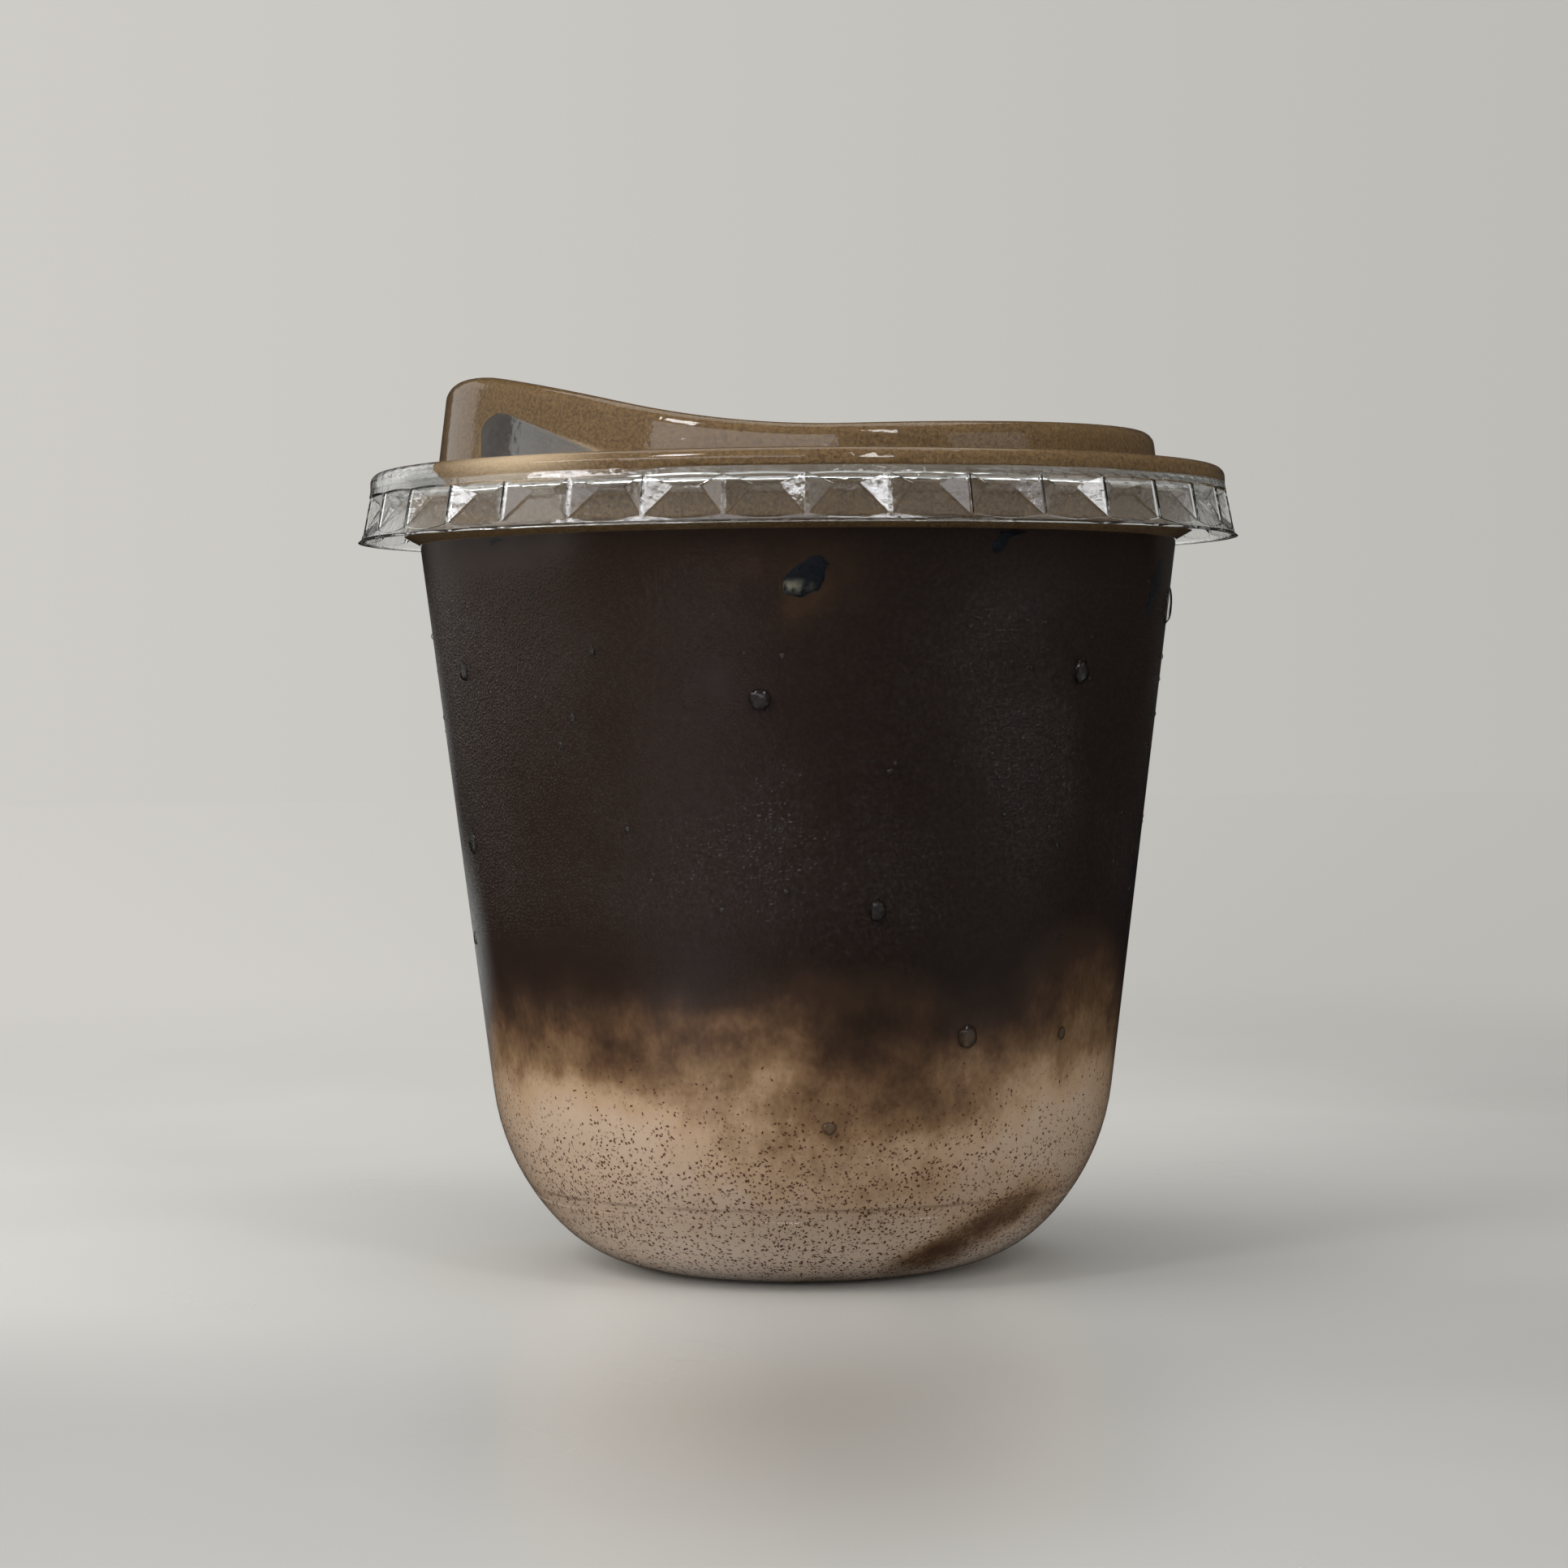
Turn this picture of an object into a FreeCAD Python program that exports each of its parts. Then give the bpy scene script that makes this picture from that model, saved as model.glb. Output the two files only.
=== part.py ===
import FreeCAD, Part
import os

import Sketcher

# Iced hojicha latte in a clear U-shaped cup with a clip-on sipping lid, in millimetres.
# +Z is up, the origin is the centre of the cup's foot on the table, and the mouthpiece of the
# lid is at -X. The cup, the lid and the three layers of the drink are one solid each.

doc = FreeCAD.newDocument("iced_hojicha_latte")

# ---------------------------------------------------------------- driving dimensions
sizes = doc.addObject("Spreadsheet::Sheet", "size")
dimensions = {
    # cup
    "rim_diameter": 98.0,
    "cup_height": 91.5,
    "cup_wall": 0.5,
    "wall_draft": 7.1,
    "curl_radius": 1.5,
    "curl_end": 250.0,
    "band_height": 6.8,
    "band_draft": 8.0,
    "band_step": 1.85,
    "ramp_lean": 63.0,
    "heel_radius": 27.1,
    "foot_radius": 17.2,
    "heel_lean": 44.2,
    "ring_width": 1.2,
    "punt_height": 1.2,
    "punt_ramp": 1.6,
    "witness_lean": 34.6,
    "witness_radius": 0.18,
    # lid
    "lid_wall": 0.45,
    "rim_clearance": 0.1,
    "bead_height": 1.95,
    "bead_bend": 1.2,
    "plug_clearance": 0.45,
    "plug_depth": 3.05,
    "plug_bend": 0.8,
    "moat_bend": 0.5,
    "dome_inset": 7.2,
    "dome_draft": 7.2,
    "skirt_drop": 5.6,
    "skirt_flare": 11.0,
    "lip_drop": 0.35,
    "lip_lean": 49.0,
    # the dents that grip under the curl
    "dent_count": 36,
    "dent_depth": 1.3,
    "dent_drop": 0.35,
    "dent_brow": 0.8,
    "dent_margin": 0.62,
    "dent_over": 0.22,
    "dent_turn": 5.9,
    "rib_width": 0.5,
    # top of the dome
    "crest_rise": 10.2,
    "crest_inset": 4.3,
    "crest_radius": 18.0,
    "nose_radius": 5.0,
    "nose_lean": 55.0,
    "slope_lean": 15.0,
    "valley_rise": 3.0,
    "valley_radius": 85.0,
    "tail_lean": 1.7,
    "brow_radius": 1.5,
    "land_radius": 1.0,
    "land_width": 8.4,
    "recess_offset": 3.5,
    "recess_draft": 5.0,
    "recess_bend": 1.0,
    "panel_drop": 1.2,
    "mouth_width": 4.9,
    "mouth_length": 15.0,
    "mouth_inset": 7.4,
    "vent_diameter": 1.6,
    "vent_inset": 6.65,
    # drink
    "milk_left": 30.0,
    "milk_low": 26.3,
    "milk_low_place": 14.0,
    "milk_right": 38.0,
    "milk_bow": 60.0,
    "pit_depth": 4.5,
    "pit_margin": 0.6,
    "pocket_inset": 6.8,
    "pocket_width": 14.0,
    "pocket_floor": 1.0,
    "pocket_rise": 7.0,
    "pocket_end": 0.3,
    "pocket_bend": 2.4,
    "pocket_back": 14.0,
    # how far a cutting shape reaches past what it cuts
    "overshoot": 2.0,
}
for row, (alias, value) in enumerate(dimensions.items(), start=1):
    sizes.set(f"A{row}", alias.replace("_", " "))
    sizes.set(f"B{row}", str(value))
    sizes.setAlias(f"B{row}", alias)
doc.recompute()

near = 1e-3  # places closer than this are the same


def number(text):
    """The value that an expression on the sheet comes to."""
    value = sizes.evalExpression(text)
    return float(getattr(value, "Value", value))


def angle(alias):
    return f"(size.{alias} * 1 deg)"


# ---------------------------------------------------------------- skins: outlines that have an inside
# A skin is a list of corners along the outer face of a wall. A heading is the direction of
# travel: 0 is up, 90 is towards +X, and the left hand is the inner face. A corner knows the
# headings before and after it, and the bend (+ turns left, - turns right) that follows it.
class Corner:
    def __init__(self, x, z, before, after=None, bend=None, turn=0):
        self.x, self.z = x, z
        self.before, self.after = before, after or before
        self.bend, self.turn = bend, turn

    def inset(self, wall):
        """The same corner on the inner face of a wall."""
        first = self.before
        mitre = f"tan(({self.after} - {first}) / 2)"
        x = f"({self.x}) + {wall} * ({mitre} * sin({first}) - cos({first}))"
        z = f"({self.z}) + {wall} * ({mitre} * cos({first}) + sin({first}))"
        bend = self.bend and f"({self.bend}) - ({self.turn}) * {wall}"
        return Corner(x, z, first, self.after, bend, self.turn)


def on_bend(centre, radius, turn, heading, follows=True):
    """A corner at one heading of a round stretch."""
    x = f"{centre[0]} + ({turn}) * ({radius}) * cos({heading})"
    z = f"{centre[1]} - ({turn}) * ({radius}) * sin({heading})"
    return Corner(x, z, heading, None, radius if follows else None, turn)


def rounded(x, z, before, after, radius, turn):
    """A sharp corner replaced by a tangent bend."""
    reach = f"({radius}) * abs(tan(({after} - {before}) / 2))"
    start = Corner(f"({x}) - {reach} * sin({before})", f"({z}) - {reach} * cos({before})",
                   before, None, radius, turn)
    end = Corner(f"({x}) + {reach} * sin({after})", f"({z}) + {reach} * cos({after})", after)
    return [start, end]


def inner(skin, wall):
    return [corner.inset(wall) for corner in skin]


def back(skin):
    """The same corners the other way round."""
    turned = []
    for place, corner in enumerate(skin):
        before = skin[place - 1] if place else None
        bend = before.bend if before else None
        turn = -before.turn if before else 0
        turned.append(Corner(corner.x, corner.z, corner.after, corner.before, bend, turn))
    return turned[::-1]


def plain(x, z):
    return Corner(x, z, "0 deg")


# ---------------------------------------------------------------- sketches and features
def plane_of(body, role):
    return next(item for item in body.Origin.OriginFeatures if item.Role == role)


def sketch_of(body, name, corners, plane="XZ_Plane"):
    """A closed outline whose corners and bends are bound to the sheet."""
    sketch = body.newObject("Sketcher::SketchObject", name)
    sketch.AttachmentSupport = [(plane_of(body, plane), "")]
    sketch.MapMode = "FlatFace"
    places = [FreeCAD.Vector(number(c.x), number(c.z), 0) for c in corners]
    ends = []
    for index, corner in enumerate(corners):
        start, end = places[index], places[(index + 1) % len(places)]
        if corner.bend is None:
            side = sketch.addGeometry(Part.LineSegment(start, end))
            ends.append((side, 1, 2))
            continue
        radius = number(corner.bend)
        chord = end - start
        rise = max(radius * radius - chord.Length ** 2 / 4, 0) ** 0.5
        left = FreeCAD.Vector(-chord.y, chord.x, 0).normalize()
        centre = (start + end) / 2 + left * rise * corner.turn
        first, last = (start, end) if corner.turn > 0 else (end, start)
        turns = [FreeCAD.Vector(1, 0, 0).getAngle(p - centre) * (1 if p.y >= centre.y else -1)
                 for p in (first, last)]
        circle = Part.Circle(centre, FreeCAD.Vector(0, 0, 1), radius)
        side = sketch.addGeometry(Part.ArcOfCircle(circle, *turns))
        ends.append((side, 1, 2) if corner.turn > 0 else (side, 2, 1))
    for index, corner in enumerate(corners):
        side, start, _ = ends[index]
        before, _, finish = ends[index - 1]
        sketch.addConstraint(Sketcher.Constraint("Coincident", before, finish, side, start))
        for kind, axis, text in (("DistanceX", -2, corner.x), ("DistanceY", -1, corner.z)):
            if abs(number(text)) < near:
                sketch.addConstraint(Sketcher.Constraint("PointOnObject", side, start, axis))
                continue
            bind(sketch, Sketcher.Constraint(kind, -1, 1, side, start, number(text)),
                 f"{'across' if kind == 'DistanceX' else 'up'}{index}", text)
        if corner.bend is not None:
            bind(sketch, Sketcher.Constraint("Radius", side, number(corner.bend)),
                 f"bend{index}", corner.bend)
    return sketch


def bind(sketch, constraint, name, text):
    place = sketch.addConstraint(constraint)
    sketch.renameConstraint(place, name)
    sketch.setExpression(f"Constraints.{name}", text)


def new_body(name):
    return doc.addObject("PartDesign::Body", name)


def revolved(body, name, corners):
    sketch = sketch_of(body, f"{name}_section", corners)
    feature = body.newObject("PartDesign::Revolution", name)
    feature.Profile = sketch
    feature.ReferenceAxis = (sketch, ["V_Axis"])
    feature.Angle = 360
    doc.recompute()


def ring_groove(body, name, x, z, radius):
    """A groove of round section that runs round the axis."""
    sketch = body.newObject("Sketcher::SketchObject", f"{name}_section")
    sketch.AttachmentSupport = [(plane_of(body, "XZ_Plane"), "")]
    sketch.MapMode = "FlatFace"
    centre = FreeCAD.Vector(number(x), number(z), 0)
    side = sketch.addGeometry(Part.Circle(centre, FreeCAD.Vector(0, 0, 1), number(radius)))
    bind(sketch, Sketcher.Constraint("DistanceX", -1, 1, side, 3, centre.x), "across", x)
    bind(sketch, Sketcher.Constraint("DistanceY", -1, 1, side, 3, centre.y), "up", z)
    bind(sketch, Sketcher.Constraint("Radius", side, number(radius)), "bend", radius)
    feature = body.newObject("PartDesign::Groove", name)
    feature.Profile = sketch
    feature.ReferenceAxis = (sketch, ["V_Axis"])
    feature.Angle = 360
    doc.recompute()


def padded(name, corners, low, high, plane="XZ_Plane"):
    """A prism of an outline, from one distance to another along the plane's normal."""
    body = new_body(name)
    sketch = sketch_of(body, f"{name}_outline", corners, plane)
    feature = body.newObject("PartDesign::Pad", f"{name}_pad")
    feature.Profile = sketch
    feature.setExpression("Length", f"({high}) - ({low})")
    sketch.setExpression("AttachmentOffset.Base.z", low)
    doc.recompute()
    return body


def joined(kind, name, base, tool):
    piece = doc.addObject(f"Part::{kind}", name)
    if kind == "MultiFuse":
        piece.Shapes = [base, tool]
    else:
        piece.Base, piece.Tool = base, tool
    doc.recompute()
    return piece


def upright(name, radius, low, high, x="0"):
    """A cylinder between two heights."""
    piece = doc.addObject("Part::Cylinder", name)
    piece.setExpression("Radius", radius)
    piece.setExpression("Height", f"({high}) - ({low})")
    piece.setExpression("Placement.Base.z", low)
    piece.setExpression("Placement.Base.x", x)
    doc.recompute()
    return piece


def filleted(body, name, radius, edges):
    base = body.Tip
    feature = body.newObject("PartDesign::Fillet", name)
    feature.Base = (base, edges)
    feature.setExpression("Radius", radius)
    doc.recompute()


# ---------------------------------------------------------------- places worked out from the sheet
rim = "(size.rim_diameter / 2)"
curl_centre = (f"({rim} - size.curl_radius)", "(size.cup_height - size.curl_radius)")
curl_inside = "(size.curl_radius - size.cup_wall)"
band_foot_z = "(size.cup_height - size.band_height)"
band_top_x = f"({curl_centre[0]} - {curl_inside} * cos({angle('band_draft')}))"
band_top_z = f"({curl_centre[1]} + {curl_inside} * sin({angle('band_draft')}))"
band_foot_x = f"({band_top_x} - ({band_top_z} - {band_foot_z}) * tan({angle('band_draft')}))"
shoulder_x = f"({band_foot_x} - size.band_step)"
shoulder_z = f"({band_foot_z} - size.band_step / tan({angle('ramp_lean')}))"

# The foot and heel bends share a tangent at heel_lean, and the heel runs into the wall.
foot_rise = f"(size.foot_radius - size.foot_radius * sin({angle('heel_lean')}))"
heel_z = f"({foot_rise} + size.heel_radius * sin({angle('heel_lean')}))"
wall_foot_z = f"({heel_z} - size.heel_radius * sin({angle('wall_draft')}))"
wall_foot_x = f"({shoulder_x} - ({shoulder_z} - {wall_foot_z}) * tan({angle('wall_draft')}))"
heel_x = f"({wall_foot_x} - size.heel_radius * cos({angle('wall_draft')}))"
foot_x = f"({heel_x} + (size.heel_radius - size.foot_radius) * cos({angle('heel_lean')}))"

lid_top = "(size.cup_height + size.lid_wall)"
bead_x = f"({rim} + size.rim_clearance + size.lid_wall)"
bead_foot_z = f"({lid_top} - size.bead_height)"
skirt_x = f"({bead_x} + size.skirt_drop * tan({angle('skirt_flare')}))"
skirt_z = f"({bead_foot_z} - size.skirt_drop)"
lip_x = f"({skirt_x} + size.lip_drop * tan({angle('lip_lean')}))"
lip_z = f"({skirt_z} - size.lip_drop)"
moat_x = f"({rim} - 2 * size.curl_radius - size.plug_clearance - size.lid_wall)"
moat_z = f"({lid_top} - size.plug_depth)"
moat_under = f"({moat_z} - size.lid_wall)"
dome_x = f"({rim} - size.dome_inset)"
crest_z = f"({lid_top} + size.crest_rise)"
over_z = f"({crest_z} + size.overshoot)"
panel_z = f"({lid_top} - size.panel_drop)"
recess_radius = f"({dome_x} - size.land_width)"
mouth_place = f"(size.mouth_inset - {dome_x})"
vent_place = f"(size.recess_offset + {recess_radius} - size.vent_inset)"


def dome_at(height):
    """Radius of the dome's outer face at a height."""
    return f"({dome_x} - (({height}) - {lid_top}) * tan({angle('dome_draft')}))"


# ---------------------------------------------------------------- cup
def cup_skin():
    """Outer face of the cup from the foot ring to the end of the curl."""
    ramp, band = angle("ramp_lean"), angle("band_draft")
    heel, wall = angle("heel_lean"), angle("wall_draft")
    skin = [
        on_bend((foot_x, "size.foot_radius"), "size.foot_radius", 1, "90 deg"),
        on_bend((heel_x, heel_z), "size.heel_radius", 1, heel),
        on_bend((heel_x, heel_z), "size.heel_radius", 1, wall, follows=False),
        Corner(shoulder_x, shoulder_z, wall, ramp),
        Corner(band_foot_x, band_foot_z, ramp, band),
    ]
    for heading in (band, "90 deg", "180 deg"):
        skin.append(on_bend(curl_centre, curl_inside, -1, heading))
    skin.append(on_bend(curl_centre, curl_inside, -1, angle("curl_end"), follows=False))
    return skin


def punt_skin():
    """Underside of the cup inside the foot ring, from the axis outwards."""
    ring_x = f"({foot_x} - size.ring_width)"
    ramp = "(90 deg + atan(size.punt_height / size.punt_ramp))"
    return [
        Corner("0", "size.punt_height", "90 deg"),
        Corner(f"{ring_x} - size.punt_ramp", "size.punt_height", "90 deg", ramp),
        Corner(ring_x, "0", ramp, "90 deg"),
    ]


cup_outer = punt_skin() + cup_skin()
cup_inner = inner(cup_outer, "size.cup_wall")

cup = new_body("cup_body")
cup.Label = "cup"
revolved(cup, "cup_wall", cup_outer + back(cup_inner))

# A fine witness line where the mould's base insert meets its wall.
witness = on_bend((heel_x, heel_z), "size.heel_radius", 1, angle("witness_lean"))
ring_groove(cup, "witness_line", witness.x, witness.z, "size.witness_radius")

# Everything that the cup can hold, up to where the curl starts.
brim = next(corner for corner in cup_inner if corner.turn < 0)
cavity = new_body("cavity")
revolved(cavity, "cavity_fill",
         cup_inner[:cup_inner.index(brim)] + [plain(brim.x, brim.z), plain("0", brim.z)])


# ---------------------------------------------------------------- lid
def lid_skin():
    """Outer face of the lid from the lip over the bead and the moat to the dome."""
    flare, lip = f"(-{angle('skirt_flare')})", f"(-{angle('lip_lean')})"
    dome = f"(-{angle('dome_draft')})"
    return [
        Corner(lip_x, lip_z, lip),
        Corner(skirt_x, skirt_z, lip, flare),
        Corner(bead_x, bead_foot_z, flare, "0 deg"),
        *rounded(bead_x, lid_top, "0 deg", "-90 deg", "size.bead_bend", 1),
        *rounded(moat_x, lid_top, "-90 deg", "-180 deg", "size.plug_bend", 1),
        *rounded(moat_x, moat_z, "-180 deg", "-90 deg", "size.moat_bend", -1),
        *rounded(dome_at(moat_z), moat_z, "-90 deg", dome, "size.moat_bend", -1),
        Corner(dome_at(over_z), over_z, dome),
    ]


def wave_skin():
    """Top of the dome seen from the side, from +X over the mouthpiece down to its nose at -X."""
    slope, tail = f"(-90 deg + {angle('slope_lean')})", f"(-90 deg - {angle('tail_lean')})"
    crest = (f"(size.crest_inset - {dome_x})", f"({crest_z} - size.crest_radius)")
    nose = (crest[0], f"({crest_z} - size.nose_radius)")
    nose_foot = on_bend(nose, "size.nose_radius", 1, f"(-90 deg - {angle('nose_lean')})",
                        follows=False)
    drop = (f"(size.crest_rise - size.valley_rise - (size.crest_radius + size.valley_radius)"
            f" * (1 - cos({angle('slope_lean')})))")
    valley_x = (f"({crest[0]} + {drop} / tan({angle('slope_lean')})"
                f" + (size.crest_radius + size.valley_radius) * sin({angle('slope_lean')}))")
    valley = (valley_x, f"({lid_top} + size.valley_rise + size.valley_radius)")
    foot = on_bend(valley, "size.valley_radius", -1, tail)
    tail_z = f"({foot.z}) + ({rim} - ({foot.x})) * tan({angle('tail_lean')})"
    return [
        Corner(rim, tail_z, tail),
        foot,
        on_bend(valley, "size.valley_radius", -1, slope, follows=False),
        on_bend(crest, "size.crest_radius", 1, slope),
        on_bend(nose, "size.nose_radius", 1, "-90 deg"),
        nose_foot,
        Corner(f"-{rim}", nose_foot.z, "-90 deg"),
    ]


def grip_dents(form, wall):
    """The ring of dents in the skirt, whose ridges hook under the cup's curl."""
    flare, cell = angle("skirt_flare"), "(180 deg / size.dent_count)"
    half_width = f"((({bead_x} + {skirt_x}) / 2) * sin({cell}) - size.rib_width / 2)"
    half_ridge = f"({half_width} / 3)"
    hook_z = "(size.cup_height - 2 * size.curl_radius - size.dent_drop)"
    ridge = (f"(({hook_z} - {skirt_z} + size.dent_depth * sin({flare})) / cos({flare})"
             f" - size.dent_margin)")
    grow = "(size.dent_over / size.dent_depth)"
    mouth = f"({half_width} + ({half_width} - {half_ridge}) * {grow})"
    dent = form.newObject("PartDesign::SubtractiveWedge", f"{form.Name}_dent")
    for key, text in {
        "Xmin": f"-{mouth}",
        "Xmax": mouth,
        "X2min": f"-{half_ridge}",
        "X2max": half_ridge,
        "Ymin": "-size.dent_over",
        "Ymax": "size.dent_depth",
        "Zmin": f"-{ridge} * {grow}",
        "Zmax": f"{ridge} + size.dent_brow * (1 + {grow})",
        "Z2min": ridge,
        "Z2max": ridge,
    }.items():
        dent.setExpression(key, text)
    reach = f"(({skirt_x} - size.dent_margin * sin({flare})) * cos({cell}))"
    dent.setExpression("Placement", (
        f"placement(vector(0; 0; 0); rotation(vector(0; 0; 1); {angle('dent_turn')}))"
        f" * placement(vector(0; {wall} * cos({flare}) - {reach};"
        f" {skirt_z} + size.dent_margin * cos({flare}) - {wall} * sin({flare}));"
        f" rotation(vector(1; 0; 0); -{flare}))"))
    doc.recompute()
    ring = form.newObject("PartDesign::PolarPattern", f"{form.Name}_dents")
    ring.Originals = [dent]
    ring.Axis = (plane_of(form, "Z_Axis"), [""])
    ring.Angle = 360
    ring.setExpression("Occurrences", "size.dent_count")
    form.Tip = ring
    doc.recompute()


def crown(form, wall):
    """Cuts the dome off along the wave of its top."""
    lid_side = [plain(f"-{rim}", over_z), plain(rim, over_z)]
    pocket = form.newObject("PartDesign::Pocket", f"{form.Name}_crown")
    pocket.Profile = sketch_of(form, f"{form.Name}_wave", inner(wave_skin(), wall) + lid_side)
    pocket.SideType = "Symmetric"
    pocket.setExpression("Length", "size.rim_diameter")
    doc.recompute()


def recess(form, wall):
    """The round hollow in the top of the dome, off centre so that the mouthpiece is wide."""
    draft = angle("recess_draft")
    floor_z = f"({panel_z} - {wall})"
    floor = f"({recess_radius} + {wall} * (1 / cos({draft}) - tan({draft})))"
    cone = form.newObject("PartDesign::SubtractiveCone", f"{form.Name}_recess")
    cone.setExpression("Radius1", floor)
    cone.setExpression("Radius2", f"{floor} + ({over_z} - {floor_z}) * tan({draft})")
    cone.setExpression("Height", f"{over_z} - {floor_z}")
    cone.setExpression("Placement.Base.x", "size.recess_offset")
    cone.setExpression("Placement.Base.z", floor_z)
    doc.recompute()


def edges_on(shape, cone_x, low, high):
    """Names of the edges that close off one cone at heights between low and high."""
    found = []
    for index, edge in enumerate(shape.Edges, start=1):
        sides = shape.ancestorsOfType(edge, Part.Face)
        cones = [face for face in sides if isinstance(face.Surface, Part.Cone)
                 and abs(face.Surface.Center.x - cone_x) < near]
        inside = low < edge.BoundBox.ZMin and edge.BoundBox.ZMax < high
        if inside and len(sides) == 2 and len(cones) == 1:
            found.append(f"Edge{index}")
    return found


def lid_form(name, wall, foot):
    """All that lies under the lid's skin, drawn in by a wall's thickness, down to its foot."""
    form = new_body(name)
    skin = inner(lid_skin(), wall)
    closing = [plain("0", skin[-1].z), plain("0", foot)]
    if foot != lip_z:
        closing.append(plain(skin[0].x, foot))
    revolved(form, f"{name}_round", skin + closing)
    grip_dents(form, wall)
    crown(form, wall)
    recess(form, wall)
    middle, top, offset = number(lid_top), number(over_z), number("size.recess_offset")
    for part, radius, place, low, high in (
            ("brow", f"size.brow_radius - {wall}", 0, middle, top),
            ("land", f"size.land_radius - {wall}", offset, middle, top),
            ("floor", f"size.recess_bend + {wall}", offset, 0, middle)):
        filleted(form, f"{name}_{part}", radius, edges_on(form.Tip.Shape, place, low, high))
    return form


lid_outside = lid_form("lid_outside", "0", lip_z)
lid_inside = lid_form("lid_inside", "size.lid_wall", f"({lip_z} - size.overshoot)")
lid_shell = joined("Cut", "lid_shell", lid_outside, lid_inside)


def slot_outline(half_width, half_length, place):
    """A slot with round ends, its length along Y."""
    straight = f"(({half_length}) - ({half_width}))"
    right, left = f"({place} + {half_width})", f"({place} - {half_width})"
    return [
        plain(right, f"-{straight}"),
        Corner(right, straight, "0 deg", None, half_width, 1),
        Corner(place, f"{straight} + {half_width}", "0 deg", None, half_width, 1),
        plain(left, straight),
        Corner(left, f"-{straight}", "0 deg", None, half_width, 1),
        Corner(place, f"-{straight} - {half_width}", "0 deg", None, half_width, 1),
    ]


mouth = padded("mouth", slot_outline("(size.mouth_width / 2)", "(size.mouth_length / 2)",
                                     mouth_place), lid_top, over_z, "XY_Plane")
vent = upright("vent", "size.vent_diameter / 2", f"{panel_z} - size.overshoot",
               f"{panel_z} + size.overshoot", vent_place)
lid = joined("Cut", "lid_open", lid_shell, joined("MultiFuse", "lid_holes", mouth, vent))
lid.Label = "lid"

# ---------------------------------------------------------------- drink
# The milk's top dips towards the front right and climbs again to the side.
milk_line = [
    plain(f"-{rim}", "size.milk_left"),
    Corner("size.milk_low_place", "size.milk_low", "0 deg", None, "size.milk_bow", 1),
    plain(rim, "size.milk_right"),
]
milk_bed = padded("milk_bed", back(milk_line) + [plain(f"-{rim}", "-size.overshoot"),
                                                 plain(rim, "-size.overshoot")], f"-{rim}", rim)
milk = joined("Common", "milk_fill", cavity, milk_bed)
milk.Label = "milk_layer"

tea_bed = padded("tea_bed", milk_line + [plain(rim, shoulder_z), plain(f"-{rim}", shoulder_z)],
                 f"-{rim}", rim)
tea = joined("Common", "tea_fill", cavity, tea_bed)
tea.Label = "tea_layer"

# The foam stands in the band of the cup and fills the hollow dome round the recess.
moat_middle = f"(({moat_x} + {dome_at(moat_z)}) / 2)"
foam_low = joined("Common", "foam_low", cavity,
                  upright("foam_disc", rim, shoulder_z, moat_under))
foam_high = joined("Common", "foam_high", lid_inside,
                   upright("foam_core", moat_middle, moat_under, over_z))
foam_whole = joined("MultiFuse", "foam_whole", foam_low, foam_high)

# Air stands under the mouthpiece's hole, and in a pocket behind the dome's wall.
pit = padded("pit", slot_outline("(size.mouth_width / 2 + size.pit_margin)",
                                 "(size.mouth_length / 2 + size.pit_margin)",
                                 mouth_place), f"{crest_z} - size.pit_depth", over_z, "XY_Plane")
pocket_left = f"(size.pocket_inset - {dome_x})"
pocket_right = f"({pocket_left} + size.pocket_width)"
pocket_top, pocket_end = f"({lid_top} + size.pocket_rise)", f"({lid_top} + size.pocket_end)"
pocket_floor = f"({lid_top} - size.pocket_floor)"
fall = "(90 deg + atan((size.pocket_rise - size.pocket_end) / size.pocket_width))"
pocket = padded("pocket", [plain(pocket_left, pocket_floor),
                           *rounded(pocket_left, pocket_top, "0 deg", fall, "size.pocket_bend", -1),
                           plain(pocket_right, pocket_end), plain(pocket_right, pocket_floor)],
                "size.pocket_back", rim)
foam = joined("Cut", "foam_fill", foam_whole, joined("MultiFuse", "foam_air", pit, pocket))
foam.Label = "foam_layer"

# ---------------------------------------------------------------- checks and files
doc.recompute()
for item in doc.Objects:
    if {"Invalid", "Error"} & set(item.State):
        raise SystemExit(f"{item.Name} did not build")
pieces = [cup, lid, milk, tea, foam]
for piece in pieces:
    if piece.Shape.isNull() or not piece.Shape.isValid() or len(piece.Shape.Solids) != 1:
        raise SystemExit(f"{piece.Label} is not one valid solid")

os.makedirs("parts", exist_ok=True)
for piece in pieces:
    piece.Shape.exportStep(f"parts/{piece.Label}.step")
    print(f"{piece.Label}: {piece.Shape.Volume / 1000:.2f} ml, {len(piece.Shape.Faces)} faces")
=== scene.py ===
import math

import bmesh
import bpy
from mathutils import Matrix, Vector, noise
from mathutils.bvhtree import BVHTree


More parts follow.
